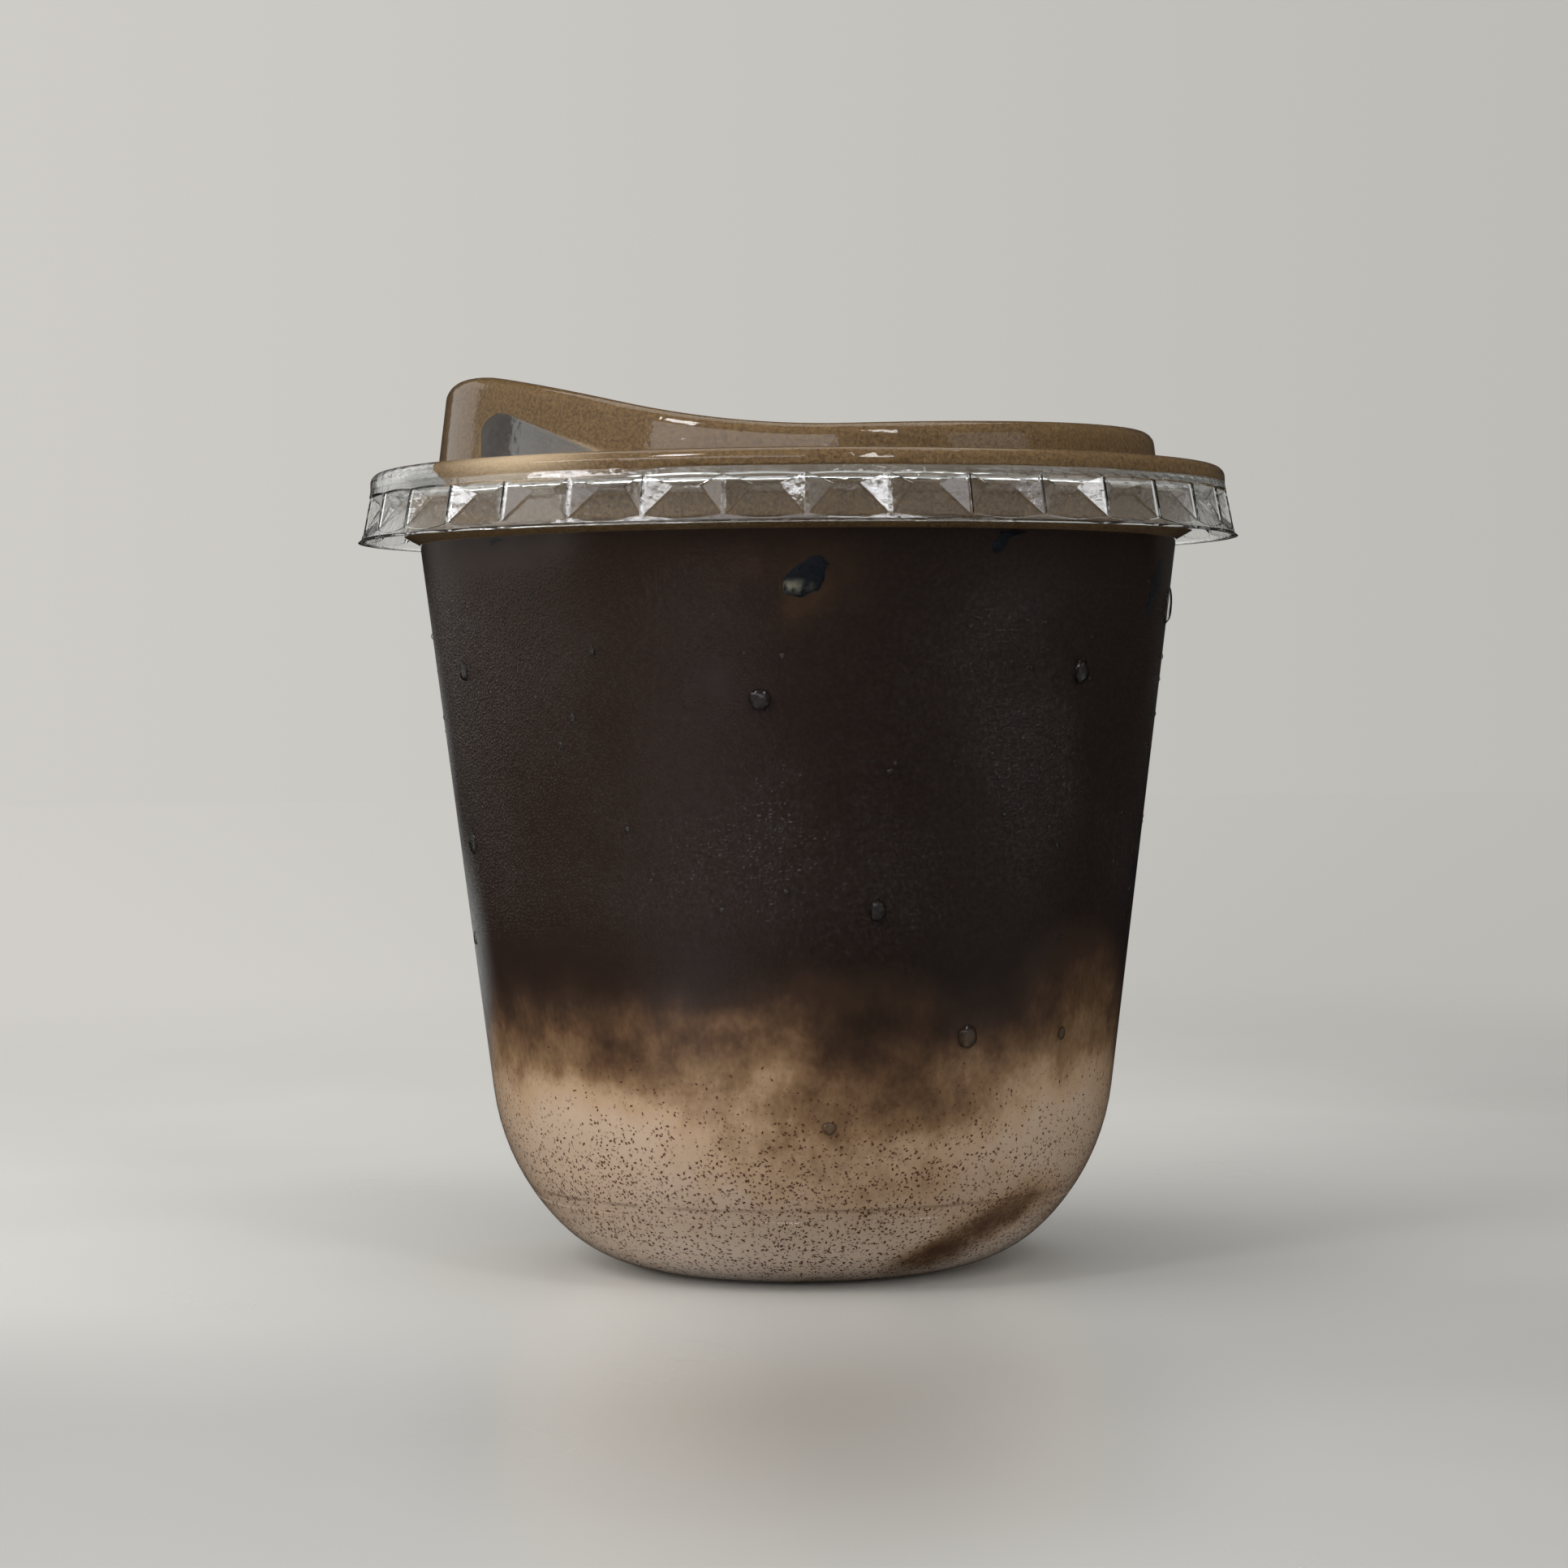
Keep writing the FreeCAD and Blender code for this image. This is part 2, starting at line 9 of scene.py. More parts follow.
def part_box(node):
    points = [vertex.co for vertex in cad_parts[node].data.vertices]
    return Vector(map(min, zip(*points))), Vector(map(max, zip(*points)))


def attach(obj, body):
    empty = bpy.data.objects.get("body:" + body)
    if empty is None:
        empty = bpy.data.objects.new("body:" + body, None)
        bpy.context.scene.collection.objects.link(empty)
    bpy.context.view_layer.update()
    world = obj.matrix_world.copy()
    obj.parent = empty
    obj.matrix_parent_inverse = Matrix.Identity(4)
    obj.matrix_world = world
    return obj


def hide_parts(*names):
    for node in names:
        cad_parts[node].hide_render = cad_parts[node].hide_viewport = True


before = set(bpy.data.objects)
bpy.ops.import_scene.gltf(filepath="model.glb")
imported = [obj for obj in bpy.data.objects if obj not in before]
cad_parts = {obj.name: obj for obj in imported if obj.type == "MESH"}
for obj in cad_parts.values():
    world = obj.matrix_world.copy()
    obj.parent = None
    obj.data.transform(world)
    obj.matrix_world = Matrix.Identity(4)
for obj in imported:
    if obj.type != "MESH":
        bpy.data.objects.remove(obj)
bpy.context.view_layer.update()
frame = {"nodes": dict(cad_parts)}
nodes = frame["nodes"]
mm = 0.001
print("frame loaded:", ", ".join(nodes))


# node trees written as expressions
class Socket:
    def __init__(self, graph, socket):
        self.graph, self.socket = graph, socket

    def maths(self, operation, *others):
        return self.graph.node("ShaderNodeMath", {"operation": operation}, (self, *others))

    def beside(self, name):  # another output of the same node
        return Socket(self.graph, self.socket.node.outputs[name])

    def __add__(self, other):
        return self.maths("ADD", other)

    def __sub__(self, other):
        return self.maths("SUBTRACT", other)

    def __rsub__(self, other):
        return self.graph.node("ShaderNodeMath", {"operation": "SUBTRACT"}, (other, self))

    def __mul__(self, other):
        return self.maths("MULTIPLY", other)

    def __truediv__(self, other):
        return self.maths("DIVIDE", other)

    def __pow__(self, other):
        return self.maths("POWER", other)

    __radd__, __rmul__ = __add__, __mul__


class Graph:
    def __init__(self, tree):
        self.tree = tree
        tree.nodes.clear()

    def node(self, kind, settings=None, values=(), output=0):
        made = self.tree.nodes.new(kind)
        for name, value in (settings or {}).items():
            if name == "stops":
                ramp = made.color_ramp
                while len(ramp.elements) < len(value):
                    ramp.elements.new(0.5)
                for stop, (place, colour) in zip(ramp.elements, value):
                    stop.position, stop.color = place, (*colour, 1)
            else:
                setattr(made, name, value)
        pairs = values.items() if isinstance(values, dict) else enumerate(values)
        for key, value in pairs:
            if isinstance(value, Socket):
                self.tree.links.new(value.socket, made.inputs[key])
            elif value is not None:
                made.inputs[key].default_value = value
        return Socket(self, made.outputs[output]) if made.outputs else None

    def mix(self, share, first, second):  # blends two colours
        first, second = (c if isinstance(c, Socket) else (*c, 1) for c in (first, second))
        return self.node("ShaderNodeMix", {"data_type": "RGBA"}, {0: share, 6: first, 7: second}, 2)

    def blend(self, share, first, second):  # blends two surfaces
        return self.node("ShaderNodeMixShader", None, {0: share, 1: first, 2: second})

    def between(self, low, high, value):  # 0 at low, 1 at high, smooth
        return self.node("ShaderNodeMapRange", {"interpolation_type": "SMOOTHSTEP"},
                         {"Value": value, "From Min": low, "From Max": high})

    def place(self):  # the object's own coordinates in millimetres
        if self.tree.type == "GEOMETRY":
            coordinates = self.node("GeometryNodeInputPosition")
        else:
            coordinates = self.node("ShaderNodeTexCoord", output="Object")
        return self.vectors("SCALE", {0: coordinates, "Scale": 1 / mm})

    def vectors(self, operation, values, output=0):
        return self.node("ShaderNodeVectorMath", {"operation": operation}, values, output)

    def length(self, vector):
        return self.vectors("LENGTH", [vector], "Value")

    def axes(self, vector):
        split = self.node("ShaderNodeSeparateXYZ", None, [vector])
        return [split.beside(axis) for axis in "XYZ"]

    def noise(self, vector, scale, detail=3.0, stretch=None):  # 0..1, scale in cells per millimetre
        if stretch:
            vector = self.vectors("MULTIPLY", [vector, stretch])
        return self.node("ShaderNodeTexNoise", None,
                         {"Vector": vector, "Scale": scale, "Detail": detail})

    def blob(self, vector, centre, size):  # 1 in the middle of an ellipsoid, 0 outside
        away = self.vectors("DIVIDE", [self.vectors("SUBTRACT", [vector, centre]), size])
        return self.between(1, 0, self.length(away))

    def cells(self, vector, scale, feature="F1"):  # distance to the nearest cell, 0..1
        return self.node("ShaderNodeTexVoronoi", {"feature": feature},
                         {"Vector": vector, "Scale": scale})

    def bump(self, height, strength, distance):
        return self.node("ShaderNodeBump", None,
                         {"Height": height, "Strength": strength, "Distance": distance * mm})

    def plastic(self, colour, roughness, **more):  # an opaque surface
        values = {"Base Color": colour, "Roughness": roughness}
        values.update({name.replace("_", " "): value for name, value in more.items()})
        return self.node("ShaderNodeBsdfPrincipled", None, values)

    def chance(self, seed):  # a random 0..1 for each point
        return self.node("FunctionNodeRandomValue", None, {8: seed}, 1)

    def ray(self, kind):  # 1 for rays of this kind
        return self.node("ShaderNodeLightPath", output=f"Is {kind} Ray")


def linear(red, green, blue):  # a screen colour of 0..255 as the shader wants it
    def one(value):
        value /= 255
        return value / 12.92 if value <= 0.04045 else ((value + 0.055) / 1.055) ** 2.4
    return tuple(one(value) for value in (red, green, blue))


def newMaterial(name):
    material = bpy.data.materials.new(name)
    material.use_nodes = True
    return material, Graph(material.node_tree)


def finished(graph, surface):
    graph.node("ShaderNodeOutputMaterial", None, {"Surface": surface})


def aim(azimuth):  # level direction; 0 is the front, + to the right
    turn = math.radians(azimuth)
    return Vector((math.sin(turn), -math.cos(turn), 0))


# camera
view = {"place": (-1.87, -446.2, 65.8), "pitch": 1.29, "roll": -0.5, "lens": 87.67, "sensor": 36.0}


def makeCamera():
    data = bpy.data.cameras.new("camera")
    data.lens, data.sensor_width, data.clip_start = view["lens"], view["sensor"], 10 * mm
    camera = bpy.data.objects.new("camera", data)
    bpy.context.collection.objects.link(camera)
    camera.matrix_world = (Matrix.Translation(Vector(view["place"]) * mm)
                           @ Matrix.Rotation(math.radians(90 - view["pitch"]), 4, "X")
                           @ Matrix.Rotation(math.radians(view["roll"]), 4, "Z"))
    bpy.context.scene.camera = camera


makeCamera()
bpy.context.scene.view_settings.view_transform = "Standard"

# room: a pale sweep that only the camera and gloss see, and lamps round it
room = {
    "paleLeft": linear(209, 206, 201),
    "paleRight": linear(186, 185, 180),
    "dark": linear(48, 45, 43),  # the unlit side of the room, seen only in gloss
    "dim": linear(128, 126, 122),  # the window's side of it, seen only in gloss
    "ambient": 0.75,
    "aim": 55,  # height that the lamps point at
}
table = {
    "radius": 2100,
    "under": 0.02,  # how far it lies below the cup's foot
    "fade": (120, 460),  # where it turns into the backdrop
    "cloud": (linear(180, 179, 175), linear(188, 187, 183)),
    "lit": linear(218, 217, 212),  # round and behind the cup
    "shade": linear(136, 132, 126),  # painted shade and painted reflection of the cup, in front of it
    # painted shade: the table darker to the right, away from the window
    "right": linear(152, 151, 147),
    "window": linear(226, 225, 220),  # painted light from the window, a brighter patch on the left
    "near": linear(120, 118, 115),  # towards the viewer
    "gloss": (0.24, 0.1),  # roughness, and how much it wanders
    "dark": linear(20, 19, 19),  # what the cup mirrors of it
    "bands": (  # pale things on its near side that the cup mirrors: bearings, colour
        (-46, -12, linear(138, 137, 140)), (46, 88, linear(70, 70, 73)),
    ),
    "soft": (14, 10),  # how far a band's edge fades outwards and inwards
}
lamps = {  # azimuth from the front, + to the right; millimetres; radiance
    "windowLeft": {"azimuth": -75, "distance": 900, "height": 780, "size": (800, 520), "radiance": 2.3,
                   "colour": (1.0, 0.99, 0.96), "mirrored": False},
    "windowFront": {"azimuth": -18, "distance": 1000, "height": 415, "size": (1120, 230), "radiance": 1.9,
                    "colour": (0.92, 0.93, 1.0)},
    "windowRight": {"azimuth": 62, "distance": 1000, "height": 380, "size": (500, 180), "radiance": 0.6,
                    "colour": (0.92, 0.95, 1.0)},
    "ceiling": {"azimuth": 180, "distance": 300, "height": 1100, "size": (900, 700), "radiance": 1.3,
                "colour": (1.0, 0.99, 0.97)},
    # thin strips that only the lid's dents and rounded edges mirror
    "stripLeft": {"azimuth": -54, "distance": 1000, "height": 480, "size": (760, 50), "radiance": 10,
                  "colour": (0.96, 0.97, 1.0)},
    "stripRight": {"azimuth": 20, "distance": 1000, "height": 480, "size": (440, 60), "radiance": 8,
                   "colour": (0.96, 0.97, 1.0)},
    "glowLeft": {"azimuth": -82, "distance": 620, "height": 180, "size": (420, 320), "radiance": 2.3,
                 "colour": (1.0, 0.99, 0.97), "mirrored": False},
    # small and bright: the glints on the drops and edges
    "glintLeft": {"azimuth": -38, "distance": 800, "height": 850, "size": (150, 300), "radiance": 16,
                  "colour": (1.0, 1.0, 1.0)},
    "glintRight": {"azimuth": 30, "distance": 800, "height": 800, "size": (130, 260), "radiance": 12,
                   "colour": (1.0, 1.0, 1.0)},
    "rimLeft": {"azimuth": -138, "distance": 900, "height": 330, "size": (420, 420), "radiance": 0.45,
                "colour": (1.0, 1.0, 1.0)},
    "glowRight": {"azimuth": 68, "distance": 620, "height": 130, "size": (400, 240), "radiance": 2.0,
                  "colour": (1.0, 0.99, 0.97), "mirrored": False},
}


def paleBackdrop(graph, direction):  # paler on the left, as a wall beside a window is
    share = graph.between(-0.35, 0.35, graph.axes(direction)[0])
    return graph.mix(share, room["paleLeft"], room["paleRight"])


def seen(graph):  # 1 for what the camera sees, also through plastic
    return (graph.ray("Camera") + graph.ray("Transmission")).maths("MINIMUM", 1)


def reflected(graph):  # 1 for what shows in gloss, not through plastic
    return graph.ray("Glossy") * (1 - graph.ray("Transmission"))


def makeWorld():
    world = bpy.data.worlds.new("room")
    world.use_nodes = True
    bpy.context.scene.world = world
    graph = Graph(world.node_tree)
    direction = graph.node("ShaderNodeTexCoord", output="Generated")
    across = graph.axes(direction)[0]
    mirrored = graph.mix(graph.between(-0.8, -0.3, across), room["dim"], room["dark"])
    colour = graph.mix(seen(graph), (room["ambient"],) * 3, paleBackdrop(graph, direction))
    colour = graph.mix(reflected(graph), colour, mirrored)
    surface = graph.node("ShaderNodeBackground", None, {"Color": colour})
    graph.node("ShaderNodeOutputWorld", None, {"Surface": surface})


def makeLamps():
    for name, lamp in lamps.items():
        data = bpy.data.lights.new(name, "AREA")
        data.shape, (data.size, data.size_y) = "RECTANGLE", (side * mm for side in lamp["size"])
        data.energy = lamp["radiance"] * math.pi * data.size * data.size_y
        data.color = lamp["colour"]
        light = bpy.data.objects.new(name, data)
        bpy.context.collection.objects.link(light)
        light.visible_glossy = lamp.get("mirrored", True)
        spot = aim(lamp["azimuth"]) * lamp["distance"]
        spot.z = lamp["height"]
        light.location = spot * mm
        towards = Vector((0, 0, room["aim"])) - spot
        light.rotation_euler = towards.to_track_quat("-Z", "Y").to_euler()


def tableTop(graph, place, far):
    x, y = graph.axes(place)[:2]
    tone = graph.mix(graph.noise(place, 0.012, 2), *table["cloud"])
    behind = graph.between(10, 120, far) * graph.between(-70, 15, y)
    tone = graph.mix(behind * 0.95, tone, table["lit"])
    # painted shade and painted reflection of the cup on the table in front of it
    tone = graph.mix(graph.blob(place, (2, -95, 0), (44, 100, 50)) * 0.75, tone, table["shade"])
    # painted shade, darker to the right, away from the window
    tone = graph.mix(graph.between(10, 160, x) * 0.5, tone, table["right"])
    # painted light: a pool of window light on the left of the table
    tone = graph.mix(graph.blob(place, (-60, -20, 0), (120, 90, 50)) * 0.6, tone, table["window"])
    tone = graph.mix(graph.between(-170, -260, y), tone, table["near"])
    roughness, wander = table["gloss"]
    return graph.plastic(tone, roughness + graph.noise(place, 0.02, 2) * wander)


def mirroredTable(graph, place, far):
    x, y = graph.axes(place)[:2]
    bearing = x.maths("ARCTAN2", y * -1) * (180 / math.pi)  # 0 at the front
    outwards, inwards = table["soft"]
    colour = table["dark"]
    for first, last, tint in table["bands"]:
        band = (graph.between(first - outwards, first + inwards, bearing)
                * graph.between(last + outwards, last - inwards, bearing)
                * graph.between(0.2, 0.7, graph.noise(place, 0.014, 2)))
        colour = graph.mix(band * graph.between(430, 300, far), colour, tint)
    return graph.node("ShaderNodeBsdfDiffuse", None, [colour])


def tableMaterial():
    material, graph = newMaterial("paleTable")
    place = graph.place()
    far = graph.length(place)
    backdrop = paleBackdrop(graph, graph.vectors("NORMALIZE", [place]))
    glow = graph.node("ShaderNodeEmission", None, {"Color": backdrop})
    straight = graph.blend(graph.between(*table["fade"], far) * seen(graph),
                           tableTop(graph, place, far), glow)
    x = graph.axes(place)[0]
    share = reflected(graph) * (0.6 + 0.4 * graph.between(-560, -420, x))  # less far to the left
    finished(graph, graph.blend(share, straight, mirroredTable(graph, place, far)))
    return material


def makeFloor():
    mesh = bpy.data.meshes.new("floor")
    build = bmesh.new()
    bmesh.ops.create_circle(build, cap_ends=True, segments=96, radius=table["radius"] * mm)
    bmesh.ops.translate(build, verts=build.verts, vec=(0, 0, -table["under"] * mm))
    build.to_mesh(mesh)
    build.free()
    floor = bpy.data.objects.new("floor", mesh)
    bpy.context.collection.objects.link(floor)
    mesh.materials.append(tableMaterial())


makeWorld()
makeLamps()
makeFloor()
print("room made")


# meshes and pieces
def newObject(name, mesh):
    thing = bpy.data.objects.new(name, mesh)
    bpy.context.collection.objects.link(thing)
    return thing


def newPiece(name, mesh, material, replaced=None):
    mesh.materials.clear()
    mesh.materials.append(material)
    piece = newObject(name, mesh)
    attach(piece, "root")
    if replaced:
        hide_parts(replaced)
    return piece


def mergedCopy(nodeName):  # a CAD mesh with its faces joined
    build = bmesh.new()
    build.from_mesh(nodes[nodeName].data)
    bmesh.ops.remove_doubles(build, verts=build.verts, dist=0.001 * mm)
    build.normal_update()
    return build


def asMesh(build, name):
    mesh = bpy.data.meshes.new(name)
    build.to_mesh(mesh)
    build.free()
    if "custom_normal" in mesh.attributes:
        mesh.attributes.remove(mesh.attributes["custom_normal"])
    return mesh


def onSkin(skin, azimuth, height):  # where a level line meets a skin, and which way it faces
    out = aim(azimuth)
    return skin.ray_cast(out * 0.1 + Vector((0, 0, height * mm)), -out)[:2]


def standing(spot, normal, spin=0.0):  # z along the normal, y as upright as it can be
    side = Vector((0, 0, 1)).cross(normal).normalized()
    turned = Matrix((side, normal.cross(side), normal)).transposed().to_4x4()
    return Matrix.Translation(spot) @ turned @ Matrix.Rotation(math.radians(spin), 4, "Z")


# geometry trees with named sizes
def newTree(name, kinds):
    tree = bpy.data.node_groups.new(name, "GeometryNodeTree")
    for label, kind in {"Geometry": "Geometry", **kinds}.items():
        tree.interface.new_socket(label, in_out="INPUT", socket_type="NodeSocket" + kind)
    tree.interface.new_socket("Geometry", in_out="OUTPUT", socket_type="NodeSocketGeometry")
    graph = Graph(tree)
    entry = tree.nodes.new("NodeGroupInput")
    return graph, {label: Socket(graph, entry.outputs[label]) for label in ("Geometry", *kinds)}


def scatterTree(name, share):  # shapes strewn over a surface where share is high
    graph, given = newTree(name, {"Shape": "Object", "Material": "Material", "Density": "Float",
                                  "Small": "Float", "Large": "Float", "Skew": "Float",
                                  "Turn": "Float", "Seed": "Int"})
    points = graph.node("GeometryNodeDistributePointsOnFaces", None,
                        {"Mesh": given["Geometry"], "Density": given["Density"] / mm ** 2,
                         "Seed": given["Seed"]})
    missed = graph.chance(1).maths("GREATER_THAN", share(graph, graph.place()))
    kept = graph.node("GeometryNodeDeleteGeometry", {"domain": "POINT"},
                      {"Geometry": points, "Selection": missed})
    size = given["Small"] + (given["Large"] - given["Small"]) * graph.chance(2) ** given["Skew"]
    spin = graph.node("ShaderNodeCombineXYZ", None, {"Z": graph.chance(3) * given["Turn"]})
    turned = graph.node("FunctionNodeRotateRotation", {"rotation_space": "LOCAL"},
                        {"Rotation": points.beside("Rotation"), "Rotate By": spin})
    shape = graph.node("GeometryNodeObjectInfo", None, {"Object": given["Shape"]}).beside("Geometry")
    strewn = graph.node("GeometryNodeInstanceOnPoints", None,
                        {"Points": kept, "Instance": shape, "Rotation": turned, "Scale": size * mm})
    real = graph.node("GeometryNodeRealizeInstances", None, {"Geometry": strewn})
    painted = graph.node("GeometryNodeSetMaterial", None,
                         {"Geometry": real, "Material": given["Material"]})
    graph.node("NodeGroupOutput", None, {"Geometry": painted})
    return graph.tree


def strew(pieceName, carrier, shape, share, sizes, material):
    tree = scatterTree(pieceName, share)
    base = newObject(pieceName + "Base", carrier)
    model = newObject(pieceName + "Shape", shape)
    modifier = base.modifiers.new("strew", "NODES")
    modifier.node_group = tree
    values = {"Shape": model, "Material": material, **sizes}
    for item in tree.interface.items_tree:
        if item.in_out == "INPUT" and item.name in values:
            modifier[item.identifier] = values[item.name]
    mesh = bpy.data.meshes.new_from_object(base.evaluated_get(bpy.context.evaluated_depsgraph_get()))
    base.modifiers.clear()
    bpy.data.objects.remove(base)
    bpy.data.objects.remove(model)
    mesh.name = pieceName
    print(pieceName, len(mesh.polygons), "faces")
    return newPiece(pieceName, mesh, material)


# the drink: one colour that runs through the milk and the tea
drink = {
    "reach": 0.18,  # how far the contents go into the wall
    "line": 26.5,  # mean height of the border
    "spread": (-13.0, 12.5),  # from milk to tea, about that line
    "milk": linear(187, 166, 145),
    "cream": linear(178, 152, 124),
    "amber": linear(134, 107, 79),
    "brown": linear(92, 68, 47),
    "dusk": linear(56, 40, 29),
    "tea": linear(25, 15, 10),
    # painted light: a lighter brown for the tea lit from the left, and for the dew's glints over it
    "glow": linear(44, 29, 19),
    "halo": linear(60, 41, 23),
    "leafAndShade": linear(74, 52, 40),
    "low": linear(244, 226, 208),  # painted light: paler under the cup's rounding
    "ring": 10.0,  # painted shade: a thin dark line along the crease where the cup's bottom starts to curve in
    "swirls": (  # centre, size, + towards tea
        ((14, -36, 21), (18, 18, 9), 0.42), ((26, -21, 9.8), (8, 12, 4.6), 0.5),
        ((20, -25, 6.2), (9, 14, 5), 0.55), ((13, -24, 2.8), (9, 12, 4), 0.55),
        ((23, -23, 8), (7, 12, 4), 0.25), ((16.5, -25, 4.4), (7, 12, 4), 0.3),
        ((-10, -36, 16), (11, 12, 7), 0.14), ((12, -33, 12.5), (20, 16, 5.5), 0.3),
        ((0, -38, 17), (14, 16, 13), 0.3), ((-25, -28, 17), (13, 20, 11), -0.22),
        ((31, -22, 17), (8, 14, 8), -0.2), ((-9, -37, 31), (7, 10, 2.4), -0.16),
        ((-20, -30, 24), (16, 13, 9), 0.2), ((31, -22, 35), (12, 16, 8), -0.22),
        ((7, -38, 29), (14, 10, 7), 0.36),
        ((26, 26, 14), (16, 14, 10), 0.35), ((-24, 27, 22), (18, 12, 9), -0.25),
    ),
}


def drinkMaterial():
    material, graph = newMaterial("hojichaLatte")
    place = graph.place()
    x, y, z = graph.axes(place)
    wide = graph.noise(place, 0.05, 3)
    wisps = graph.noise(place, 0.18, 3, (1, 1, 0.8))
    line = drink["line"] + (wide - 0.5) * 14 + (wisps - 0.5) * 5
    share = graph.between(*drink["spread"], z - line)
    for centre, size, amount in drink["swirls"]:
        share = share + graph.blob(place, centre, size) * amount
    coarse, fine = graph.noise(place, 0.26, 4, (1, 1, 0.85)), graph.noise(place, 1.6, 3, (1, 1, 0.7))
    mottle = (coarse - 0.5) * 0.45 + (fine - 0.5) * 0.2
    share = share + mottle * graph.between(60, 25, z) * graph.between(1.1, 0.6, share)
    colour = graph.node("ShaderNodeValToRGB", {"stops": [
        (0.0, drink["milk"]), (0.25, drink["cream"]), (0.45, drink["amber"]),
        (0.65, drink["brown"]), (0.82, drink["dusk"]), (1.0, drink["tea"])]}, [share])
    # painted light: the milk paler low down, under the cup's rounding
    low = graph.between(10, 0, z) * 0.85 * graph.between(0.6, 0.1, share)
    colour = graph.mix(low, colour, drink["low"])
    dust = graph.between(0.34, 0.18, graph.cells(place, 1.7)) * graph.between(38, 8, z)
    dust = dust * graph.between(0.4, 0.6, graph.noise(place, 0.7, 3))
    colour = graph.mix(dust * 0.8, colour, drink["leafAndShade"])
    # painted shade along the crease at the bottom's edge, in the specks' colour
    ring = graph.between(0.28, 0.08, (z - drink["ring"]).maths("ABSOLUTE"))
    colour = graph.mix(ring * graph.between(0.3, 0.6, wisps) * 0.4, colour, drink["leafAndShade"])
    # painted light: the tea lighter on its left side, towards the window
    paintedLeftLight = graph.between(16, -14, x) * graph.between(0.85, 1, share)
    colour = graph.mix(paintedLeftLight * 0.45, colour, drink["glow"])
    leather = graph.between(0.42, 0.62, graph.noise(place, 2.2, 2)) * graph.between(32, 44, z)
    colour = graph.mix(leather * 0.3, colour, drink["glow"])  # painted highlights of the fine dew on the wall, which break up the dark
    halo = graph.blob(place, (-1, -43, 78), (11, 9, 9)) * 0.8
    colour = graph.mix(halo * graph.between(0.25, 0.7, graph.noise(place, 0.18, 3)), colour, drink["halo"])
    finished(graph, graph.plastic(colour, 0.55, Specular_IOR_Level=0.1))
    return material


def contents(nodeName, pieceName, material, flatLevels):
    build = mergedCopy(nodeName)
    for vert in build.verts:
        move = vert.normal * drink["reach"] * mm
        if any(abs(vert.co.z - level * mm) < 0.02 * mm for level in flatLevels):
            move.z = 0
        vert.co += move
    mesh = asMesh(build, pieceName)
    mesh.shade_smooth()
    mesh.set_sharp_from_angle(angle=math.radians(35))
    return newPiece(pieceName, mesh, material, nodeName)


latte = drinkMaterial()
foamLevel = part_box("foam_layer")[0].z / mm
milkPiece = contents("milk_layer", "milkLayer", latte, [])
teaPiece = contents("tea_layer", "teaLayer", latte, [foamLevel])
print("drink made")

# foam
foam = {
    "dark": linear(68, 48, 25),
    "pale": linear(124, 98, 60),
    "hollow": linear(206, 184, 152),  # the skin of the air pocket, pale of its own and painted lighter against the shade inside it
    "pocket": ((-28.5, -34, 93.4), (14, 18, 8)),
    "edge": ((-32, 96.4), 0.36),  # a spot on the pocket's upper edge, and its fall to the right
    "bubbles": (1.4, 3.6),  # cells per millimetre
}


def foamMaterial():
    material, graph = newMaterial("brownFoam")
    place = graph.place()
    large, small = (graph.cells(place, scale) for scale in foam["bubbles"])
    cloud = graph.noise(place, 0.09, 3)
    grain = graph.between(0.3, 0.7, graph.noise(place, 2.2, 4))
    tone = graph.mix(cloud * 0.35 + grain * 0.5, foam["dark"], foam["pale"])
    tone = graph.mix(graph.between(0.45, 0.8, small) * 0.5, tone, foam["pale"])
    x, y, z = graph.axes(place)
    (edgeX, edgeZ), fall = foam["edge"]
    under = graph.between(0.5, -0.5, z - edgeZ + (x - edgeX) * fall)
    # the pocket's skin: partly its own pale colour, partly painted light against the shade in the hollow
    tone = graph.mix(graph.blob(place, *foam["pocket"]) * under, tone, foam["hollow"])
    surface = graph.plastic(tone, 0.55, Specular_IOR_Level=0.3,
                            Normal=graph.bump(small * 0.6 + large * 0.5 + grain, 0.6, 0.14))
    finished(graph, surface)
    return material


brownFoam = foamMaterial()
foamPiece = contents("foam_layer", "foamLayer", brownFoam, [foamLevel])

# foam drawn up into the lid's bead, over the cup's curl
film = {
    "from": -52.0, "to": 232.0,  # azimuths
    "step": 1.0,
    "curl": (47.5, 90.0, 1.45),  # just inside the curl's skin
    "corner": (48.35, 90.75, 0.87),  # just inside the lid's bead
    "foot": 90.3,  # lower edge
    "hang": (-10, 22, 1.15),  # left of this azimuth it hangs, over so many degrees, so far
    "wander": (6, 0.2),  # how fast and how far the lower edge wanders
    "inner": 47.9,
    "outer": (90.2, 90.1, 90.0),  # heights where its outside steps back in
    "thick": 0.12,
    "ragged": (1.6, 1.1),  # lean and wander of its ends, in degrees
}


